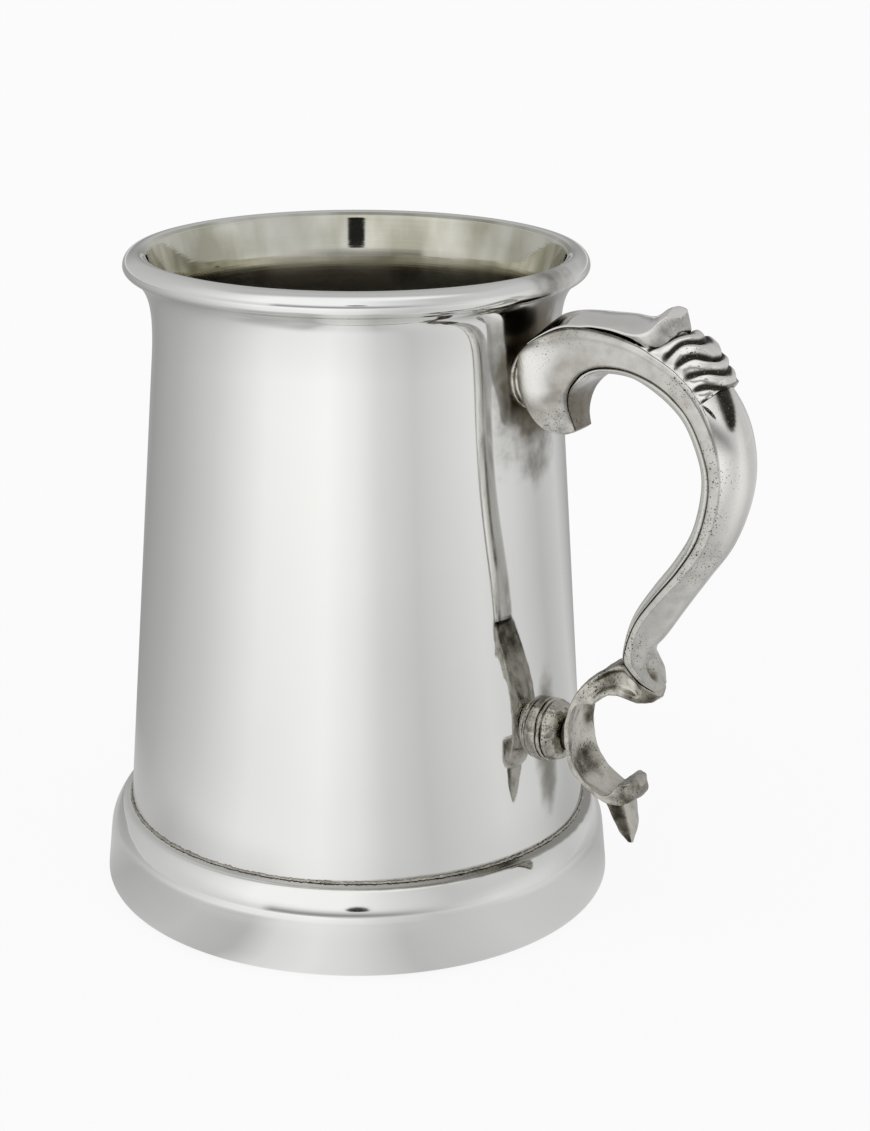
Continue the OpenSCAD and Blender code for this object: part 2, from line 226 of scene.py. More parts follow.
# pits, grain and the patina that stays in the hollows of a casting
def makeCastSkin():
    skin = {"cloudScale": 430.0, "pickScale": 95.0, "grainScale": 2300.0, "crowding": 0.36, "spread": 0.24}
    pitSizes = ((1500.0, 0.48, 0.36), (3200.0, 0.44, 0.42))  # scale, least crowding, widest
    tree, takes, gives = newGroup("castSkin", ["Place"], ["TarnishAndPaintedLight", "Cloud"], ["Patina", "Pits", "Grain"])
    where = takes["Place"]
    level = maths(tree, "SUBTRACT", clouds(tree, where, skin["cloudScale"], 6.0), 0.5)
    both = maths(tree, "MULTIPLY_ADD", level, takes["Cloud"], takes["TarnishAndPaintedLight"])
    pick = clouds(tree, where, skin["pickScale"], 4.0)
    crowd = maths(tree, "MULTIPLY_ADD", takes["TarnishAndPaintedLight"], skin["crowding"], pick)
    holes = []
    for scale, least, widest in pitSizes:
        cells = put(tree, "ShaderNodeTexVoronoi", {"Vector": where, "Scale": scale}).outputs
        lot = put(tree, "ShaderNodeSeparateXYZ", {0: cells["Color"]}).outputs["X"]
        size = ranged(tree, crowd, least, least + skin["spread"], 0.0, widest)
        deep = maths(tree, "SUBTRACT", maths(tree, "MULTIPLY", size, lot), cells["Distance"])
        holes.append(ranged(tree, deep, 0.0, 0.13))
    tree.links.new(ranged(tree, both, 0.12, 0.95, soft=True), gives["Patina"])
    tree.links.new(maths(tree, "MAXIMUM", *holes), gives["Pits"])
    tree.links.new(clouds(tree, where, skin["grainScale"], 3.0), gives["Grain"])
    return tree


# brown stain round a soldered joint, drawn out up and down the wall; round the hook it is also a painted dark
# reflection of the hook in the wall
def makeJointStainAndReflection():
    ragged = 0.8
    tree, takes, gives = newGroup("jointStainAndReflection", ["Place", "Joint", "Squash"], ["Reach"], ["Stain"])
    away = vectors(tree, "SUBTRACT", takes["Place"], takes["Joint"])
    far = vectors(tree, "LENGTH", vectors(tree, "MULTIPLY", away, takes["Squash"]))
    share = maths(tree, "DIVIDE", far, takes["Reach"])
    rough = maths(tree, "MULTIPLY_ADD", clouds(tree, takes["Place"], 170.0, 5.0), ragged, share)
    tree.links.new(ranged(tree, rough, 1.35, 0.75, soft=True), gives["Stain"])
    return tree


# a brown band along a ring, broader and stronger on the handle's side
def makeRingBrown():
    ring = {"steep": 2.4, "broad": 2.1, "least": 0.1, "most": 0.6, "ragged": 0.4, "full": 0.035}
    tree, takes, gives = newGroup("ringBrown", ["Place"], ["Radius", "Height", "Reach"], ["Stain"])
    where = takes["Place"]
    parts = put(tree, "ShaderNodeSeparateXYZ", {0: where}).outputs
    out = vectors(tree, "LENGTH", vectors(tree, "MULTIPLY", where, (1, 1, 0)))
    aside = maths(tree, "SUBTRACT", out, takes["Radius"])
    above = maths(tree, "MULTIPLY", maths(tree, "SUBTRACT", parts["Z"], takes["Height"]), ring["steep"])
    far = vectors(tree, "LENGTH", put(tree, "ShaderNodeCombineXYZ", {0: aside, 1: above}).outputs[0])
    broad = ranged(tree, parts["X"], 0.005, ring["full"], 1.0, ring["broad"])
    share = maths(tree, "DIVIDE", far, maths(tree, "MULTIPLY", takes["Reach"], broad))
    rough = maths(tree, "MULTIPLY_ADD", clouds(tree, where, 320.0, 5.0), ring["ragged"], share)
    mask = ranged(tree, rough, 1.1, 0.7, soft=True)
    side = ranged(tree, parts["X"], 0.0, ring["full"], ring["least"], ring["most"])
    tree.links.new(maths(tree, "MULTIPLY", mask, side), gives["Stain"])
    return tree


rubMarks = makeRubMarks()
castSkin = makeCastSkin()
jointStainAndReflection = makeJointStainAndReflection()
ringBrown = makeRingBrown()


def startMaterial(name):
    material = bpy.data.materials.new(name)
    material.use_nodes = True
    tree = material.node_tree
    shader = tree.nodes["Principled BSDF"]
    shader.inputs["Metallic"].default_value = 1.0
    where = put(tree, "ShaderNodeTexCoord").outputs["Object"]
    return material, tree, shader, where


def dress(tree, shader, colour, rough, height, strength, deep):
    bump = put(tree, "ShaderNodeBump", {"Height": height, "Strength": strength, "Distance": deep})
    tree.links.new(colour, shader.inputs["Base Color"])
    tree.links.new(rough, shader.inputs["Roughness"])
    tree.links.new(bump.outputs[0], shader.inputs["Normal"])


def polishedPewter():
    finish = {"bright": (0.80, 0.80, 0.785, 1), "dim": (0.75, 0.75, 0.73, 1),
              "brown": (0.105, 0.086, 0.053, 1), "shine": 0.045, "smudged": 0.09, "stained": 0.18,
              "lines": 0.012, "deep": 0.0003}
    ring = {"Radius": (body["footRadius"] + 0.8) * mm, "Height": body["footTop"] * mm, "Reach": 0.0013}
    # up the wall, squash, reach and strength of the stain round each joint; round the hook the stain is
    # partly a painted dark reflection
    joints = {"hook": (108, (1, 1, 0.55), 0.0145, 1.0), "boss": (37, (1, 1.9, 0.5), 0.0088, 0.75)}
    material, tree, shader, where = startMaterial("polishedPewter")
    marks = put(tree, "ShaderNodeGroup", {"Place": where}, node_tree=rubMarks).outputs
    brown = put(tree, "ShaderNodeGroup", {"Place": where, **ring}, node_tree=ringBrown).outputs[0]
    for up, squash, reach, strength in joints.values():
        joint = {"Place": where, "Joint": (wallRadius(up) * mm, 0, up * mm), "Squash": squash, "Reach": reach}
        stain = put(tree, "ShaderNodeGroup", joint, node_tree=jointStainAndReflection).outputs[0]
        brown = maths(tree, "MAXIMUM", brown, maths(tree, "MULTIPLY", stain, strength))
    colour = blended(tree, marks["Smudge"], finish["bright"], finish["dim"], "RGBA")
    stained = blended(tree, brown, colour, finish["brown"], "RGBA")
    rough = ranged(tree, marks["Smudge"], 0.35, 0.7, finish["shine"], finish["smudged"])
    dulled = maths(tree, "MULTIPLY_ADD", brown, finish["stained"], rough)
    dress(tree, shader, stained, dulled, marks["Lines"], finish["lines"], finish["deep"])
    return material


# the inside keeps its turning lines, with streaks of tarnish that run down
def insidePewter():
    finish = {"bright": (0.76, 0.75, 0.685, 1), "dim": (0.40, 0.39, 0.31, 1), "brown": (0.65, 0.62, 0.54, 1),
              "shine": 0.02, "dull": 0.07, "brownDull": 0.2, "lines": 0.03, "deep": 0.0003}
    edge = {"from": 0.127, "to": 0.119, "ragged": 0.016}  # heights where the brown begins
    material, tree, shader, where = startMaterial("insidePewter")
    marks = put(tree, "ShaderNodeGroup", {"Place": where}, node_tree=rubMarks).outputs
    down = put(tree, "ShaderNodeMapping", {"Vector": where, "Scale": (75, 75, 8)}).outputs[0]
    streaks = clouds(tree, down, 1.0, 4.0)
    dull = ranged(tree, maths(tree, "ADD", marks["Smudge"], streaks), 0.82, 1.2)
    up = maths(tree, "MULTIPLY_ADD", streaks, edge["ragged"], heightOf(tree, where))
    deep = ranged(tree, up, edge["from"], edge["to"], soft=True)
    colour = blended(tree, dull, finish["bright"], finish["dim"], "RGBA")
    browned = blended(tree, deep, colour, finish["brown"], "RGBA")
    rough = ranged(tree, dull, 0.0, 1.0, finish["shine"], finish["dull"])
    duller = blended(tree, deep, rough, finish["brownDull"])
    dress(tree, shader, browned, duller, marks["Lines"], finish["lines"], finish["deep"])
    return material


# heights between which handled parts turn a little greyer and then smoother, metres
handled = {"greyFrom": 0.092, "grey": 0.101, "smoothFrom": 0.098, "smooth": 0.103}


def castPewter(name, finish):
    material, tree, shader, where = startMaterial(name)
    dull = put(tree, "ShaderNodeAttribute", attribute_name="tarnishAndPaintedLight").outputs["Fac"]
    skin = put(tree, "ShaderNodeGroup", {"Place": where, "TarnishAndPaintedLight": dull, "Cloud": finish["cloud"]},
               node_tree=castSkin).outputs
    tint = blended(tree, skin["Grain"], finish["bright"], finish["soft"], "RGBA")
    up = heightOf(tree, where)
    grey = ranged(tree, up, handled["greyFrom"], handled["grey"], 1.0, finish["handled"])
    greyed = put(tree, "ShaderNodeVectorMath", {0: tint, "Scale": grey}, operation="SCALE").outputs[0]
    warm = blended(tree, ranged(tree, dull, 0.0, 0.6), greyed, finish["warm"], "RGBA")
    stain = blended(tree, skin["Patina"], warm, finish["dark"], "RGBA")
    pitted = blended(tree, skin["Pits"], stain, finish["pit"], "RGBA")
    rubbedAndSheen = ranged(tree, up, handled["smoothFrom"], handled["smooth"], finish["shine"], finish["rubbedAndSheen"])
    rough = blended(tree, skin["Patina"], rubbedAndSheen, finish["dull"])
    low = maths(tree, "MULTIPLY_ADD", skin["Pits"], -1.0, 1.0)
    height = maths(tree, "MULTIPLY_ADD", skin["Grain"], finish["grain"], low)
    dress(tree, shader, pitted, rough, height, 0.5, 0.0001)
    return material


polished = polishedPewter()
inside = insidePewter()
satin = castPewter("castPewter", {
    "bright": (0.92, 0.915, 0.895, 1), "soft": (0.84, 0.835, 0.81, 1), "warm": (0.40, 0.38, 0.335, 1),
    "dark": (0.14, 0.12, 0.085, 1), "pit": (0.10, 0.09, 0.07, 1), "cloud": 0.5, "shine": 0.16,
    "rubbedAndSheen": 0.16, "dull": 0.36, "grain": 0.3, "handled": 1.0})
bright = castPewter("rubbedPewter", {
    "bright": (0.92, 0.91, 0.885, 1), "soft": (0.85, 0.84, 0.815, 1), "warm": (0.41, 0.39, 0.35, 1),
    "dark": (0.03, 0.027, 0.022, 1), "pit": (0.12, 0.11, 0.09, 1), "cloud": 0.8, "shine": 0.16,
    "rubbedAndSheen": 0.06, "dull": 0.25, "grain": 0.06, "handled": 0.89})
worn = castPewter("wornPewter", {
    "bright": (0.74, 0.725, 0.68, 1), "soft": (0.54, 0.52, 0.46, 1), "warm": (0.36, 0.34, 0.29, 1),
    "dark": (0.05, 0.043, 0.03, 1), "pit": (0.04, 0.035, 0.027, 1), "cloud": 1.4, "shine": 0.09,
    "rubbedAndSheen": 0.09, "dull": 0.34, "grain": 0.4, "handled": 1.0})
solder = castPewter("solderPewter", {
    "bright": (0.7, 0.685, 0.63, 1), "soft": (0.54, 0.52, 0.47, 1), "warm": (0.3, 0.28, 0.235, 1),
    "dark": (0.08, 0.07, 0.05, 1), "pit": (0.06, 0.05, 0.04, 1), "cloud": 1.0, "shine": 0.26,
    "rubbedAndSheen": 0.2, "dull": 0.5, "grain": 0.8, "handled": 1.0})
print("materials ready")


# faces that look at the axis get the inside's finish
def tarnishInside(piece):
    piece.data.materials.append(inside)
    for face in piece.data.polygons:
        x, y = face.center.xy
        if face.normal.x * x + face.normal.y * y < -0.5 * math.hypot(x, y):
            face.material_index = 1


def makeBody():
    drumRows = {"spigot": 43.8, "spigotIn": 42.3, "bottom": 8.4, "mouth": 37.68, "blendUp": 104.5,
                "inBlendUp": 105, "segments": 224}
    foot, wall, footTop = body["footRadius"], body["wall"], body["footTop"]
    lip = (body["lipRadius"], body["lipUp"])
    mouth = (drumRows["mouth"], lip[1])
    throat = (37.24, 118.2)
    blend = (wallRadius(drumRows["blendUp"]), drumRows["blendUp"])
    flare = sway(blend, (wallRadius(114.4), 114.4), (38.55, 117.6), lip, 22)
    inBlend = (wallRadius(drumRows["inBlendUp"]) - wall, drumRows["inBlendUp"])
    inFlare = line(mouth, throat, 4) + sway(throat, (36.8, 116.6), (36.15, 114.2), inBlend, 20)[1:]
    outline = [(drumRows["spigot"], drumRows["bottom"]), (drumRows["spigot"], footTop), (foot, footTop + 0.1)]
    outline += line((wallRadius(footTop + 0.4), footTop + 0.4), blend, 26)[:-1] + flare + inFlare
    outline += line(inBlend, (foot - wall, 18.6), 26)[1:]
    outline += [(drumRows["spigotIn"], 18.0), (drumRows["spigotIn"], drumRows["bottom"])]
    drum = turned("drum", outline, drumRows["segments"])
    place(drum, "drum", "polished_pewter", polished)
    tarnishInside(drum)

    # a land that falls towards the mouth, a tight roll and a tucked-in underside
    rimRows = {"top": 40.4, "topUp": 124.45, "widest": 43.0, "widestUp": 121.75, "edge": 38.75,
               "edgeUp": 123.7, "film": 0.005}
    edge, edgeUp = rimRows["edge"], rimRows["edgeUp"]
    seat = lip[1] + rimRows["film"]
    rise = rimRows["topUp"] - rimRows["widestUp"]
    outer = arc((rimRows["top"], rimRows["widestUp"]), rimRows["widest"] - rimRows["top"], rise, 90, 0, 30)
    under = sway(outer[-1], (42.98, 120.9), (42.2, 120.25), (lip[0] + 0.05, seat), 12)[1:]
    bore = line((mouth[0], seat), (edge - 0.06, edgeUp - 0.1), 8)
    land = [(edge - 0.02, edgeUp - 0.03)]
    land += sway((edge + 0.14, edgeUp + 0.04), (39.3, 124.0), (39.8, 124.45), outer[0], 10)[:-1]
    rim = turned("rimRing", bore + land + outer + under, drumRows["segments"])
    place(rim, "rim_ring", "polished_pewter", polished)
    tarnishInside(rim)

    footRows = {"bore": 40.4, "socket": 43.9, "seat": 6, "chamfer": 0.8, "ring": 41.2}
    outline = arc((46.7, 2.2), 2.7, 2.2, -90, 0, 14) + line((49.36, 3.0), (48.72, 9.4), 8)
    shoulder = [(48.62, 10.2), (48.52, 11.1), (48.36, 11.9), (48.17, 12.6), (47.86, 13.4), (47.34, 14.5),
                (46.7, 15.6), (46.26, 16.2), (45.99, 16.42), (45.84, 16.48), (45.78, 16.6), (45.1, 16.78),
                (foot, footTop)]
    outline += smoothRows(shoulder, 4) + [(footRows["socket"], footTop)]
    outline += [(footRows["socket"], footRows["seat"]), (footRows["bore"], footRows["seat"])]
    outline += [(footRows["bore"], footRows["chamfer"]), (footRows["ring"], 0)]
    band = turned("footBand", outline, drumRows["segments"])
    place(band, "foot_band", "polished_pewter", polished)

    baseRows = {"radius": 43.8, "under": 6.1, "dish": 6.6, "top": 8.3, "topDull": 0.08, "underDull": 0.5}
    outline = [(0, baseRows["dish"]), (36, baseRows["dish"]), (37.1, 6.35), (38.2, baseRows["under"])]
    outline += [(baseRows["radius"], baseRows["under"]), (baseRows["radius"], baseRows["top"])]
    outline += line((40, baseRows["top"]), (0, baseRows["top"]), 12)
    base = turned("baseDisc", outline, 128, dull=lambda r, h: baseRows["topDull" if h > 8 else "underDull"])
    place(base, "base_disc", "worn_pewter", worn)


# a rough bead of solder, lumpy along its length
def makeBead():
    bead = {"corner": (44.42, 17.02), "radius": 0.42, "steps": 1100, "lump": 0.7, "fine": 2100, "coarse": 420,
            "dull": 0.3}
    cx, cz = bead["corner"]
    outline = [(cx, cz)] + arc((cx, cz), bead["radius"], bead["radius"], 0, 90, 7)
    piece = turned("solderBead", outline, bead["steps"], dull=lambda r, h: bead["dull"])
    for vert in piece.data.vertices:
        r = math.hypot(vert.co.x, vert.co.y) / mm
        reach = math.hypot(r - cx, vert.co.z / mm - cz)
        if reach > 0.1:
            grit = noise.noise(vert.co * bead["fine"]) * 0.7 + noise.noise(vert.co * bead["coarse"]) * 0.4
            k = 1 + bead["lump"] * (grit - 0.35)
            stretch = (cx + (r - cx) * k) / r
            vert.co.x *= stretch
            vert.co.y *= stretch
            vert.co.z = (cz + (vert.co.z / mm - cz) * k) * mm
    place(piece, "solder_bead", "solder", solder)


makeBody()
makeBead()
print("body turned")


# the handle's places are [out from the saddle, up from the boss], across is +-Y
def onHandle(out, up):
    z = body["bossUp"] + up
    return Vector((wallRadius(z) + body["saddle"] + out, 0, z))


# a row's first and second place, the way from one to the other, and how far that is
def rails(row):
    first = onHandle(row[0], row[1])
    second = onHandle(row[2], row[3])
    along = second - first
    return first, second, along.normalized(), along.length


# evens out the corners of a ring of (along, across, tarnish)
def soften(ring, passes):
    for _ in range(passes):
        count = len(ring)
        ring = [tuple((ring[i - 1][k] + 2 * ring[i][k] + ring[(i + 1) % count][k]) / 4 for k in range(3))
                for i in range(count)]
    return ring


def sides(first, along, ring):
    return [(first + along * n + Vector((0, b, 0)), dull) for n, b, dull in ring]


# the same points on the other side, in reverse
def mirrored(points):
    return [(n, -b, dull) for n, b, dull in reversed(points)]


# rows of the upper scroll from the hook's tip to the heel's toe: seam out and up, arris out and up,
# half width, rise of the back, depth of the belly
scrollRows = [
    (9, 58.6, 8.2, 58, 2.9, 0.4, 0.3), (8.5, 60.6, 5.6, 57.5, 3.5, 0.6, 0.4),
    (8.4, 62.6, 2.6, 58.7, 4.4, 0.4, 0.5), (8.8, 64.6, 0.4, 61.8, 5.2, 0.1, 0.8),
    (9.6, 66.3, -0.3, 65, 6, 0, 1.3), (10.9, 68, -0.4, 68.4, 6.4, 0, 1.9),
    (12.4, 69.6, 0.5, 72.2, 6.5, 0, 2.3), (14.6, 70.8, 4.9, 75.5, 6.5, 0, 2.7),
    (17.2, 71.4, 9.8, 77.5, 6.5, 0, 2.9), (20.2, 71.5, 15.6, 77.6, 6.4, 0, 3),
    (23.2, 71, 21.7, 76.5, 6.3, 0, 3), (26.4, 69.9, 27.3, 74.1, 6.2, 0.2, 3),
    (29.5, 68, 31.7, 71.3, 6.1, 1.4, 3), (32.5, 65, 35, 67.4, 6, 2.8, 3),
    (34.7, 60.7, 37.3, 62.1, 5.9, 3.5, 3), (36.1, 55.4, 38.4, 55.9, 5.8, 3.27, 3),
    (35.7, 49.8, 37.8, 49.6, 5.7, 2.8, 3), (33.5, 43.2, 35.2, 42.4, 5.5, 2.4, 2.8),
    (29.6, 37.2, 30.8, 36.3, 5.3, 2.4, 2.5), (24.8, 31.4, 25.8, 30.7, 5.1, 3.2, 2.2),
    (21.1, 26.5, 22.1, 25.9, 4.9, 3.5, 1.9), (19.1, 22.2, 20.3, 22, 4.8, 2.7, 1.5),
    (18.2, 18.7, 19.9, 19.2, 4.7, 1.6, 1), (19.3, 16.9, 20.5, 17.5, 4.7, 0.5, 0.5),
    (21.2, 14.9, 21.8, 15.6, 4.2, 0.2, 0.4), (22.6, 13.2, 22.9, 13.9, 2.5, 0.1, 0.3),
]
scrollSteps = 10
scroll = smoothRows(scrollRows, scrollSteps)


# how far the side faces turn in, at the arris and at the seam; at counts the rows from the hook's tip
def arrisIn(length, at):
    return min(0.15 * length, mix(0.15, 1.1, smooth(5.5, 8, at)))


def seamIn(length):
    return min(0.05 * length, 0.32)


# the back is boxier near the leaf and rounder lower down
def backBow(at, a):
    return 1 - abs(math.cos(a)) ** mix(3.2, 2.5, smooth(14.5, 17.5, at))


# closes a run with a rounded end
def roundOff(rings, reach, count):
    ends = [sum((p for p, _ in ring), Vector()) / len(ring) for ring in rings[-2:]]
    onward = (ends[1] - ends[0]).normalized()
    last = rings[-1]
    for k in range(1, count + 1):
        a = math.radians(84) * k / count
        rings.append([(ends[1] + (p - ends[1]) * math.cos(a) + onward * reach * math.sin(a), dull)
                      for p, dull in last])
    return rings


# a painted dark reflection: a dark drop that hangs below the folds, painted into the back's tarnish
def paintedDarkReflection(at, s):
    drop = {"from": 12.9, "to": 14.1, "wide": 0.38, "start": -0.2, "end": -0.68}
    share = (at - drop["from"]) / (drop["to"] - drop["from"])
    if share < 0 or share >= 1:
        return 0
    far = abs(s - mix(drop["start"], drop["end"], share)) / (drop["wide"] * (1 - share ** 2))
    return 1 - smooth(0.7, 1.1, far)


def makeBack():
    shape = {"sidePoints": 20, "backPoints": 40, "seamPoints": 12, "film": 0.02, "sideDull": 0.33,
             "seamDull": 0.5}
    rings = []
    for i, row in enumerate(scroll):
        seam, _, along, length = rails(row)
        half, rise = row[4], row[5]
        at = i / scrollSteps
        edge, foot = half - arrisIn(length, at), half - seamIn(length)
        heel = 0.05 * smooth(20.5, 22.5, at)
        plain = 0.02 + 0.26 * smooth(15.4, 17.2, at) + heel
        ring = []
        for k in range(shape["sidePoints"]):
            t = k / shape["sidePoints"]
            turn = (half - foot if t < 0.5 else half - edge) * (2 * t - 1) ** 4
            # on the hook, the half of each side face towards the arris loses its tarnish: a painted highlight
            rubbedAndSheen = smooth(0.3, 0.7, t) * smooth(2.8, 4.2, at) * (1 - smooth(5.6, 7.6, at))
            dull = (shape["sideDull"] + heel + 0.06 * (1 - smooth(7, 9, at))) * (1 - rubbedAndSheen)
            dull += 0.3 * (1 - smooth(0, 0.15 / length, t))
            ring.append((mix(shape["film"], length, t), -half + turn, dull))
        for k in range(shape["backPoints"] + 1):
            a = math.pi * k / shape["backPoints"]
            s = -math.cos(a)
            # the back's tarnish takes the painted dark reflection below the folds
            ring.append((length + rise * backBow(at, a), s * edge, plain + paintedDarkReflection(at, s)))
        ring += mirrored(ring[:shape["sidePoints"]])
        for k in range(1, shape["seamPoints"]):
            ring.append((shape["film"], mix(foot, -foot, k / shape["seamPoints"]), shape["seamDull"]))
        rings.append(sides(seam, along, soften(ring, 1)))
    piece = cast("handleBack", roundOff(rings, 0.8, 5))
    place(piece, "handle_back", "cast_pewter", satin)
    # the broad back is rubbed bright by hands
    piece.data.materials.append(bright)
    for face in piece.data.polygons:
        if face.normal.x > 0.2 and face.center.z > handled["greyFrom"]:
            face.material_index = 1
    # a worn dent in the heel's toe, longer than wide
    dent = {"place": Vector((64.4, -0.6, 55.2)), "down": Vector((0.76, 0, -0.65)),
            "out": Vector((0.65, 0, 0.76)), "reach": 1.5, "depth": 0.5}
    for vert, dull in zip(piece.data.vertices, piece.data.attributes["tarnishAndPaintedLight"].data):
        away = vert.co / mm - dent["place"]
        down = away.dot(dent["down"])
        far = (away - dent["down"] * down * 0.5).length / dent["reach"]
        share = 1 - smooth(0.1, 1, far)
        if share > 0:
            vert.co -= dent["out"] * dent["depth"] * mm * share
            dull.value += share * mix(0.15, 0.7, smooth(0, 1.4, down))


def makeBelly():
    shape = {"points": 30, "seamPoints": 12, "step": 0.08, "film": 0.02, "last": 22, "seamDull": 0.8}
    rings = []
    for i, row in enumerate(scroll[:shape["last"] * scrollSteps + 1]):
        seam, _, along, length = rails(row)
        edge = row[4] - seamIn(length) - shape["step"]
        tip = 1 - smooth(3 * scrollSteps, 6 * scrollSteps, i)
        ring = []
        for k in range(shape["points"] + 1):
            a = math.pi * k / shape["points"]
            dull = 0.08 + 0.25 * (1 - smooth(0, 0.05, math.sin(a))) + 0.55 * tip
            ring.append((-shape["film"] - row[6] * math.sin(a), edge * math.cos(a), dull))
        for k in range(1, shape["seamPoints"]):
            ring.append((-shape["film"], mix(-edge, edge, k / shape["seamPoints"]), shape["seamDull"]))
        rings.append(sides(seam, along, soften(ring, 1)))
    piece = cast("handleBelly", rings)
    place(piece, "handle_belly", "cast_pewter", satin)


# a leaf like a shallow boat: its keel lies on the handle, its edges stand free, and its tip is a blunt bud
def makeLeaf():
    leaf = {"from": 6.4, "to": 9, "thick": 2.5, "root": 0.4, "rootRows": 13, "film": 0.08, "steps": 6,
            "plate": 0.5, "across": 32, "edgePoints": 5, "lift": 0.6, "keel": 0.5, "edgeBow": 0.3,
            "edgeDull": 0.05}
    # keel out and up, top out and up, half width, lift of the edges, width of the keel as a share
    tipRows = [
        (18.6, 77.3, 18.5, 79.8, 6.2, 0.75, 0.6), (21.7, 76.65, 21.5, 79.7, 6.3, 1.0, 0.72),
        (24.4, 75.9, 23.9, 80.1, 6.3, 1.9, 0.86), (26.8, 75.9, 25.6, 81.0, 5.9, 2.9, 0.88),
        (28.4, 76.6, 26.8, 81.9, 5.0, 3.6, 0.86), (29.2, 77.6, 27.6, 82.2, 3.8, 3.4, 0.8),
    ]
    run = []
    first = round(leaf["from"] * scrollSteps)
    for i, row in enumerate(scroll[first:leaf["to"] * scrollSteps + 1]):
        _, arris, along, _ = rails(row)
        share = min(1, mix(leaf["root"], 1, i / leaf["rootRows"]))
        under = arris + along * leaf["film"]
        top = under + along * leaf["thick"] * share
        lift = leaf["lift"] * smooth(8.4, 9, (first + i) / scrollSteps)
        run.append((under.x, under.z, top.x, top.z, row[4] - 0.4, lift, leaf["keel"]))
    free = [run[-1]]
    for row in tipRows:
        under, top = onHandle(row[0], row[1]), onHandle(row[2], row[3])
        free.append((under.x, under.z, top.x, top.z) + row[4:])
    run += smoothRows(free, leaf["steps"])[1:]
    rings = []
    for i, (underX, underZ, topX, topZ, half, lift, keel) in enumerate(run):
        share = i / (len(run) - 1)
        under = Vector((underX, 0, underZ))
        along = Vector((topX, 0, topZ)) - under
        plate = leaf["plate"] * min(1, along.length / leaf["thick"])
        crown = along.length - lift - plate
        hollow = mix(0.6, 0.36, smooth(0.5, 0.66, share))
        # the top is painted dark near its root: a painted dark reflection where the leaf rises from the
        # hook's crest
        root = 0.03 + 0.9 * (1 - smooth(0.1, 0.25, share))
        ring = []
        for k in range(leaf["across"] + 1):
            s = mix(-1, 1, k / leaf["across"])
            rise = max(0, abs(s) - keel) / (1 - keel)
            ring.append((lift * rise ** 1.3, s * half, hollow))
        rim = []
        for k in range(1, leaf["edgePoints"]):
            t = k / leaf["edgePoints"]
            rim.append((lift + plate * t, half + leaf["edgeBow"] * t * (1 - t), leaf["edgeDull"]))
        ring += rim
        for k in range(leaf["across"] + 1):
            s = mix(1, -1, k / leaf["across"])
            ring.append((lift + plate + crown * (1 - s * s), s * half, root))
        ring += mirrored(rim)
        rings.append(sides(under, along.normalized(), soften(ring, 1)))
    piece = cast("thumbLeaf", roundOff(rings, 0.6, 7))
    place(piece, "thumb_leaf", "cast_pewter", bright)


# glossy folds that lie straight across the back, uneven like folded cloth
def makeCalyx():
    calyx = {"from": 10.2, "to": 13, "steps": 48, "root": 0.3, "thick": 4.2, "full": 0.45, "end": 0.3,
             "folds": 6, "ridge": 1.0, "bow": 0.22, "stray": 0.4, "film": 0.08, "across": 64}
    fine = smoothRows(scrollRows, calyx["steps"])
    rows = fine[round(calyx["from"] * calyx["steps"]):calyx["to"] * calyx["steps"] + 1]
    rings = []
    for i, row in enumerate(rows):
        seam, _, along, length = rails(row)
        share = i / (len(rows) - 1)
        rise = smooth(0, calyx["full"], share)
        fall = smooth(calyx["full"], 1, share)
        thick = calyx["root"] + calyx["thick"] * rise * (1 - (1 - calyx["end"]) * fall)
        at = mix(calyx["from"], calyx["to"], share)
        half = row[4] - arrisIn(length, at) + 0.12
        over, beneath = [], []
        for k in range(calyx["across"] + 1):
            a = math.pi * k / calyx["across"]
            s = -math.cos(a)
            stray = calyx["stray"] * noise.noise(Vector((1.3 * s, 5 * share, 3)))
            wave = abs(math.sin(math.pi * (calyx["folds"] * (share - calyx["bow"] * (1 - s * s)) + stray)))
            keep = min(1, 4 * share) * math.sin(a) ** 0.5 * (1 - smooth(0.93, 1, share))
            back = length + calyx["film"] + row[5] * backBow(at, a)
            n = back + thick * (0.55 * math.sin(a) + 0.45 * (1 - s ** 8))
            dull = 1.05 * (1 - smooth(0.25, 0.9, wave)) * min(1, 3 * math.sin(a))
            over.append((n + calyx["ridge"] * (wave ** 0.75 - 0.5) * keep, s * half, 0.03 + dull))
            beneath.append((back - 0.5 * calyx["film"], s * half, 0.8))
        rings.append(sides(seam, along, over + beneath[-2:0:-1]))
    piece = cast("leafCalyx", rings, sharp=80)
    lumpy(piece, [(0.1, 1.6)])
    place(piece, "leaf_calyx", "cast_pewter", bright)


makeBack()
makeBelly()
makeLeaf()
makeCalyx()
print("upper scroll cast")


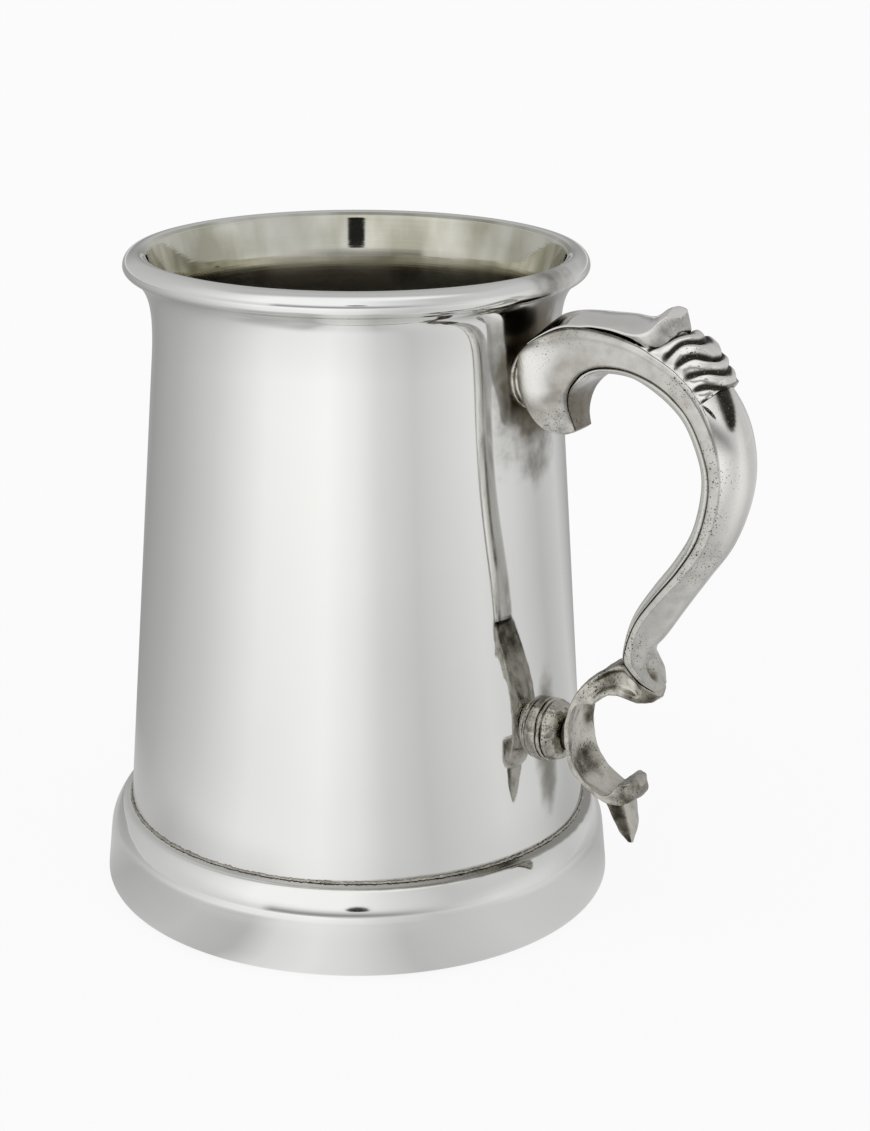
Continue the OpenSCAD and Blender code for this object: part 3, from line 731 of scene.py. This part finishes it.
# a strap with sunk panels at the knee, a gutter inside its curve and a rounded nose
def makeLowerScroll():
    shape = {"steps": 6, "across": 26, "sidePoints": 25, "panelDeep": 1.2, "lip": 0.8}
    # back out and up, inner face out and up, half width
    rows = smoothRows([
        (22.6, 12.9, 22, 10.8, 2.5), (21.2, 14.6, 20.4, 11, 4.2), (19.3, 16.6, 18.4, 11.4, 4.7),
        (17.9, 17.8, 16.1, 11.4, 4.7), (14.8, 16.4, 13.7, 10.7, 4.7), (11.4, 13.8, 11.7, 9, 4.7),
        (8.5, 10.5, 10.2, 6.8, 4.8), (6.5, 6.6, 9, 4.5, 4.9), (5.6, 3, 8.3, 2.2, 4.9),
        (5.6, -0.8, 8.2, -0.4, 4.9), (6.3, -4, 8.7, -2.9, 4.9), (8.3, -6.6, 9.9, -4.9, 4.8),
        (11.2, -8.6, 11.8, -6.3, 4.7), (14.1, -9.7, 14.2, -6.2, 4.6), (16.1, -9.8, 16.1, -5.4, 4.3),
        (17.2, -9.2, 17.0, -5.3, 3.7),
    ], shape["steps"])
    rings = []
    for i, row in enumerate(rows):
        at = i / shape["steps"]
        back, _, along, thick = rails(row)
        half = row[4]
        end = 1 - smooth(1.6, 2.6, at)
        panel = smooth(0.7, 1.7, at) * (1 - smooth(4.3, 5.4, at))
        knee = smooth(2, 3, at) * (1 - smooth(5, 6, at))
        gutter = smooth(5.0, 6.8, at) * (1 - smooth(12.2, 14, at))
        nose = smooth(12.8, 14.4, at)
        edge = mix(thick, shape["lip"], gutter)
        outside, side, inner = [], [], []
        for k in range(shape["across"] + 1):
            s = mix(-1, 1, k / shape["across"])
            dull = mix(0.3, 0.65, knee) + 0.2 * nose
            outside.append((-mix(0.3, 1.2, gutter) * (1 - s * s), s * half, dull))
        for k in range(1, shape["sidePoints"]):
            t = k / shape["sidePoints"]
            sunk = panel * smooth(0.16, 0.26, t) * (1 - smooth(0.68, 0.8, t))
            dark = sunk * mix(-0.1, 0.25, smooth(2.6, 3.6, at))
            dull = 0.24 + dark + 0.36 * end * (1 - sunk) + 0.24 * nose
            side.append((edge * t, half - shape["panelDeep"] * sunk, dull))
        for k in range(shape["across"] + 1):
            s = mix(1, -1, k / shape["across"])
            streak = 0.5 * smooth(0.2, 0.7, s) * smooth(5.4, 6.4, at) * (1 - smooth(8, 9, at))
            patch = 0.45 * smooth(9, 9.8, at) * (1 - smooth(10.6, 11.4, at)) * (1 - s ** 4)
            dull = 0.13 + streak + patch + 0.2 * nose
            inner.append((edge - mix(0.1, 0.95, gutter) * (1 - s * s), s * half, dull))
        passes = round(mix(2, 12, smooth(12, 14, at)))
        rings.append(sides(back, along, soften(outside + side + inner + mirrored(side), passes)))
    rings.reverse()
    rings = roundOff(rings, 0.7, 4)
    rings.reverse()
    piece = cast("lowerScroll", roundOff(rings, 1.9, 9))
    lumpy(piece, [(0.22, 3.1), (0.1, 1.1)])
    place(piece, "lower_scroll", "worn_pewter", worn)


def makeTail():
    tail = {"steps": 8, "across": 14, "sidePoints": 10, "soft": 4, "bow": 0.2, "sideIn": 0.45,
            "faceDull": 0.2, "sideDull": 0.72}
    # inner face out and up, outer face out and up, half width
    rows = smoothRows([
        (11.5, -9.3, 16.2, -10, 2.9), (13.1, -12.6, 16.5, -12.4, 2.5),
        (14.3, -15.6, 16.8, -15, 1.9), (15.6, -18.1, 16.3, -18.1, 0.6),
    ], tail["steps"])
    rings = []
    for row in rows:
        first, _, along, thick = rails(row)
        half = row[4]
        inner, side, outer = [], [], []
        for k in range(tail["across"] + 1):
            s = mix(-1, 1, k / tail["across"])
            inner.append((-tail["bow"] * (1 - s * s), s * half, tail["faceDull"]))
            outer.append((thick + tail["bow"] * (1 - s * s), -s * half, tail["faceDull"]))
        for k in range(1, tail["sidePoints"]):
            t = k / tail["sidePoints"]
            side.append((thick * t, half - tail["sideIn"] * 4 * t * (1 - t), tail["sideDull"]))
        rings.append(sides(first, along, soften(inner + side + outer + mirrored(side), tail["soft"])))
    piece = cast("tailLeaf", roundOff(rings, 0.3, 4))
    lumpy(piece, [(0.14, 1.9)])
    place(piece, "tail_leaf", "worn_pewter", worn)


# the boss and its plate stand square on the leaning wall
def makeBoss():
    taper = math.atan(lean)
    axis = Vector((math.cos(taper), 0, math.sin(taper)))
    up = Vector((-math.sin(taper), 0, math.cos(taper)))
    centre = Vector((wallRadius(body["bossUp"]), 0, body["bossUp"]))
    plate = {"radius": 6.0, "round": 0.35, "sunk": -1.1, "edge": 0.5, "top": 1.0}
    radius, bend = plate["radius"], plate["round"]
    outline = [(0, plate["sunk"]), (radius, plate["sunk"]), (radius, plate["edge"])]
    outline += arc((radius - bend, plate["edge"]), bend, bend, 0, 90, 5)
    outline += [(5.5, 0.86), (5.4, plate["top"]), (0, plate["top"])]
    piece = turned("bossPlate", outline, 96, centre, axis, up, dull=lambda r, h: 0.8 if h > 0.84 else 0.35)
    place(piece, "boss_plate", "worn_pewter", worn)

    # two beads with a dark groove between them, a dome and a neck
    boss = {"bottom": 1.03, "groove": 1.88, "shoulder": 4.85, "neck": 5.85}
    outline = [(0, boss["bottom"]), (5.4, boss["bottom"])] + arc((5.55, 1.4), 0.4, 0.36, -90, 80, 9)
    outline += [(5.42, 1.83), (5.42, 1.93)] + arc((5.42, 2.3), 0.38, 0.36, -80, 30, 7)
    outline += sway((5.66, 2.6), (5.6, 3.5), (4.6, 4.5), (3.2, 4.9), 30)
    outline += [(3.02, 5.0), (2.9, 5.25), (2.85, boss["neck"]), (0, boss["neck"])]

    def dull(r, h):
        return 0.85 if abs(h - boss["groove"]) < 0.08 or h < 1.1 or h > boss["shoulder"] else 0.32

    piece = turned("boss", outline, 192, centre, axis, up, dull=dull)
    lumpy(piece, [(0.3, 2.6), (0.07, 0.9)])
    place(piece, "boss", "worn_pewter", worn)


# a pad with a stepped edge, lying round the wall
def makeSaddle():
    pad = {"wide": 13, "tall": 11.6, "points": 64}
    # inset of the edge, height above the wall, tarnish
    layers = [(0, -0.6, 0.4), (0, 0.35, 0.2), (0.12, 0.5, 0), (0.5, 0.55, 0.35), (0.62, 0.6, 0.35),
              (0.7, 0.95, 0), (0.85, 1.08, 0), (1.6, 1.1, 0.25)]
    half = pad["wide"] / 2 - pad["tall"] / 2
    rings = []
    for inset, thick, dull in layers:
        ring = []
        r = pad["tall"] / 2 - inset
        for k in range(pad["points"]):
            a = 2 * math.pi * k / pad["points"]
            y = r * math.cos(a) + half * (1 if math.cos(a) > 0 else -1)
            z = body["hookUp"] + r * math.sin(a)
            turn = y / wallRadius(z)
            reach = wallRadius(z) + thick
            ring.append((Vector((reach * math.cos(turn), reach * math.sin(turn), z)), dull))
        rings.append(ring)
    piece = cast("hookSaddle", rings, sharp=40)
    place(piece, "hook_saddle", "solder", solder)


makeLowerScroll()
makeTail()
makeBoss()
makeSaddle()
print("lower scroll, boss and saddle cast")

# level directions of the photo's view
view = {"toCamera": (0.5736, -0.8192, 0), "toRight": (0.8192, 0.5736, 0)}


# turn round the tankard, from 0 to 1, with 0.5 towards the camera
def around(tree, vector):
    front = vectors(tree, "DOT_PRODUCT", vector, view["toCamera"])
    right = vectors(tree, "DOT_PRODUCT", vector, view["toRight"])
    return maths(tree, "MULTIPLY_ADD", maths(tree, "ARCTAN2", right, front), 0.5 / math.pi, 0.5)


# greys round the tankard at stops of (degrees, tone); the ramp holds half tones, as some are above 1
def tones(tree, turn, stops):
    node = put(tree, "ShaderNodeValToRGB", {0: turn})
    ramp = node.color_ramp
    ramp.interpolation = "LINEAR"
    for deg, _ in stops[1:-1]:
        ramp.elements.new((deg + 180) / 360)
    for mark, (_, tone) in zip(ramp.elements, stops):
        mark.color = (tone / 2, tone / 2, tone / 2, 1)
    return maths(tree, "MULTIPLY", node.outputs[0], 2.0)


# a pale floor that is white to the camera, with softer tones for the metal to mirror
def makeFloor():
    ground = {"size": 8, "drop": 0.0002, "near": (0.07, 0.12), "fade": (0.15, 0.6), "glow": 0.9,
              "colour": (0.86, 0.86, 0.86, 1)}
    # degrees from the camera, left is minus
    farFloor = [(-180, 0.4), (-146, 0.34), (-110, 0.52), (-80, 0.75), (-48, 1.1), (-15, 1.2), (0, 1.06),
                (12, 0.84), (30, 0.7), (64, 0.9), (88, 0.8), (108, 0.6), (130, 0.72), (152, 0.4), (180, 0.4)]
    # close to the tankard the floor's tones are mostly darker than further out: a painted shadow of the
    # tankard, seen only in the metal
    nearFloor = [(-180, 0.5), (-100, 0.57), (-84, 0.48), (-52, 0.64), (-34, 0.56), (-24, 0.88), (-12, 0.98),
                 (0, 0.86), (14, 0.62), (44, 0.75), (76, 0.7), (96, 0.5), (180, 0.5)]
    bpy.ops.object.select_all(action="DESELECT")
    bpy.ops.mesh.primitive_plane_add(size=ground["size"], location=(0, 0, -ground["drop"]))
    floor = bpy.context.object
    floor.name = "floor"
    material = bpy.data.materials.new("paleFloor")
    material.use_nodes = True
    tree = material.node_tree
    tree.nodes.remove(tree.nodes["Principled BSDF"])
    where = put(tree, "ShaderNodeTexCoord").outputs["Object"]
    turn = around(tree, where)
    away = vectors(tree, "LENGTH", where)
    fade = ranged(tree, away, *ground["fade"], 0.94, 1.04)
    wide = maths(tree, "MULTIPLY", tones(tree, turn, farFloor), fade)
    far = ranged(tree, away, *ground["near"], soft=True)
    seenInMetal = blended(tree, far, tones(tree, turn, nearFloor), wide)
    path = put(tree, "ShaderNodeLightPath").outputs
    tone = blended(tree, path["Is Camera Ray"], seenInMetal, 1.0)
    glow = put(tree, "ShaderNodeEmission", {"Strength": tone})
    matte = put(tree, "ShaderNodeBsdfDiffuse", {"Color": ground["colour"]})
    seen = maths(tree, "MAXIMUM", path["Is Camera Ray"], path["Is Glossy Ray"])
    share = maths(tree, "MULTIPLY", seen, ground["glow"])
    both = put(tree, "ShaderNodeMixShader", {0: share, 1: matte.outputs[0], 2: glow.outputs[0]})
    tree.links.new(both.outputs[0], tree.nodes["Material Output"].inputs["Surface"])
    floor.data.materials.append(material)


# a soft studio: a big window at the front left, greyer walls, and a small dark patch over the camera
def makeWorld():
    room = {"lift": (0.1, 0.38), "top": (0.7, 0.88), "ahead": (0.02, 0.3), "overhead": (0.58, 1.1),
            "pale": (0.74, 0.2), "paleUp": 0.11}
    patch = {"half": 0.085, "up": 0.34, "tall": 0.055, "tone": 0.02}
    # degrees from the camera, left is minus
    low = [(-180, 0.3), (-168, 0.32), (-148, 0.58), (-100, 0.7), (-62, 0.82), (-43, 0.9), (-38, 0.36),
           (0, 0.32), (14, 0.4), (30, 0.58), (48, 0.74), (64, 0.88), (88, 0.82), (110, 0.66),
           (130, 0.72), (150, 0.5), (170, 0.36), (180, 0.3)]
    high = [(-180, 0.5), (-110, 0.66), (-78, 0.85), (-50, 1.14), (-5, 1.12), (18, 0.86), (44, 0.66),
            (70, 0.72), (110, 0.68), (180, 0.5)]
    world = bpy.data.worlds.new("studio")
    bpy.context.scene.world = world
    world.use_nodes = True
    tree = world.node_tree
    way = put(tree, "ShaderNodeTexCoord").outputs["Generated"]
    turn = around(tree, way)
    up = heightOf(tree, way)
    aside = vectors(tree, "DOT_PRODUCT", way, view["toRight"])
    ahead = vectors(tree, "DOT_PRODUCT", way, view["toCamera"])
    pale = ranged(tree, up, 0.0, room["paleUp"], *room["pale"])
    base = maths(tree, "MAXIMUM", tones(tree, turn, low), pale)
    walls = blended(tree, ranged(tree, up, *room["lift"], soft=True), base, tones(tree, turn, high))
    above = ranged(tree, ahead, *room["ahead"], *room["overhead"])
    whole = blended(tree, ranged(tree, up, *room["top"], soft=True), walls, above)
    sideways = maths(tree, "DIVIDE", aside, patch["half"])
    higher = maths(tree, "DIVIDE", maths(tree, "SUBTRACT", up, patch["up"]), patch["tall"])
    spot = put(tree, "ShaderNodeCombineXYZ", {0: sideways, 1: higher}).outputs[0]
    disc = ranged(tree, vectors(tree, "LENGTH", spot), 1.1, 0.9)
    inFront = maths(tree, "GREATER_THAN", ahead, 0.0)
    dark = blended(tree, maths(tree, "MULTIPLY", disc, inFront), whole, patch["tone"])
    path = put(tree, "ShaderNodeLightPath").outputs
    tone = blended(tree, path["Is Camera Ray"], dark, 1.0)
    tree.links.new(tone, tree.nodes["Background"].inputs["Strength"])
    tree.nodes["Background"].inputs["Color"].default_value = (1, 1, 1, 1)


def makeCamera():
    shot = {"place": (0.2453, -0.3503, 0.2039), "tilt": 18.268, "turn": 34.648, "lens": 74.55,
            "aside": 0.0568}
    bpy.ops.object.camera_add(location=shot["place"],
                              rotation=(math.radians(90 - shot["tilt"]), 0, math.radians(shot["turn"])))
    camera = bpy.context.object
    camera.data.lens = shot["lens"]
    camera.data.sensor_width = 36
    camera.data.shift_x = shot["aside"]
    camera.data.clip_start = 0.01
    bpy.context.scene.camera = camera


makeFloor()
makeWorld()
makeCamera()
bpy.context.scene.view_settings.view_transform = "Standard"
print("stage and camera set")
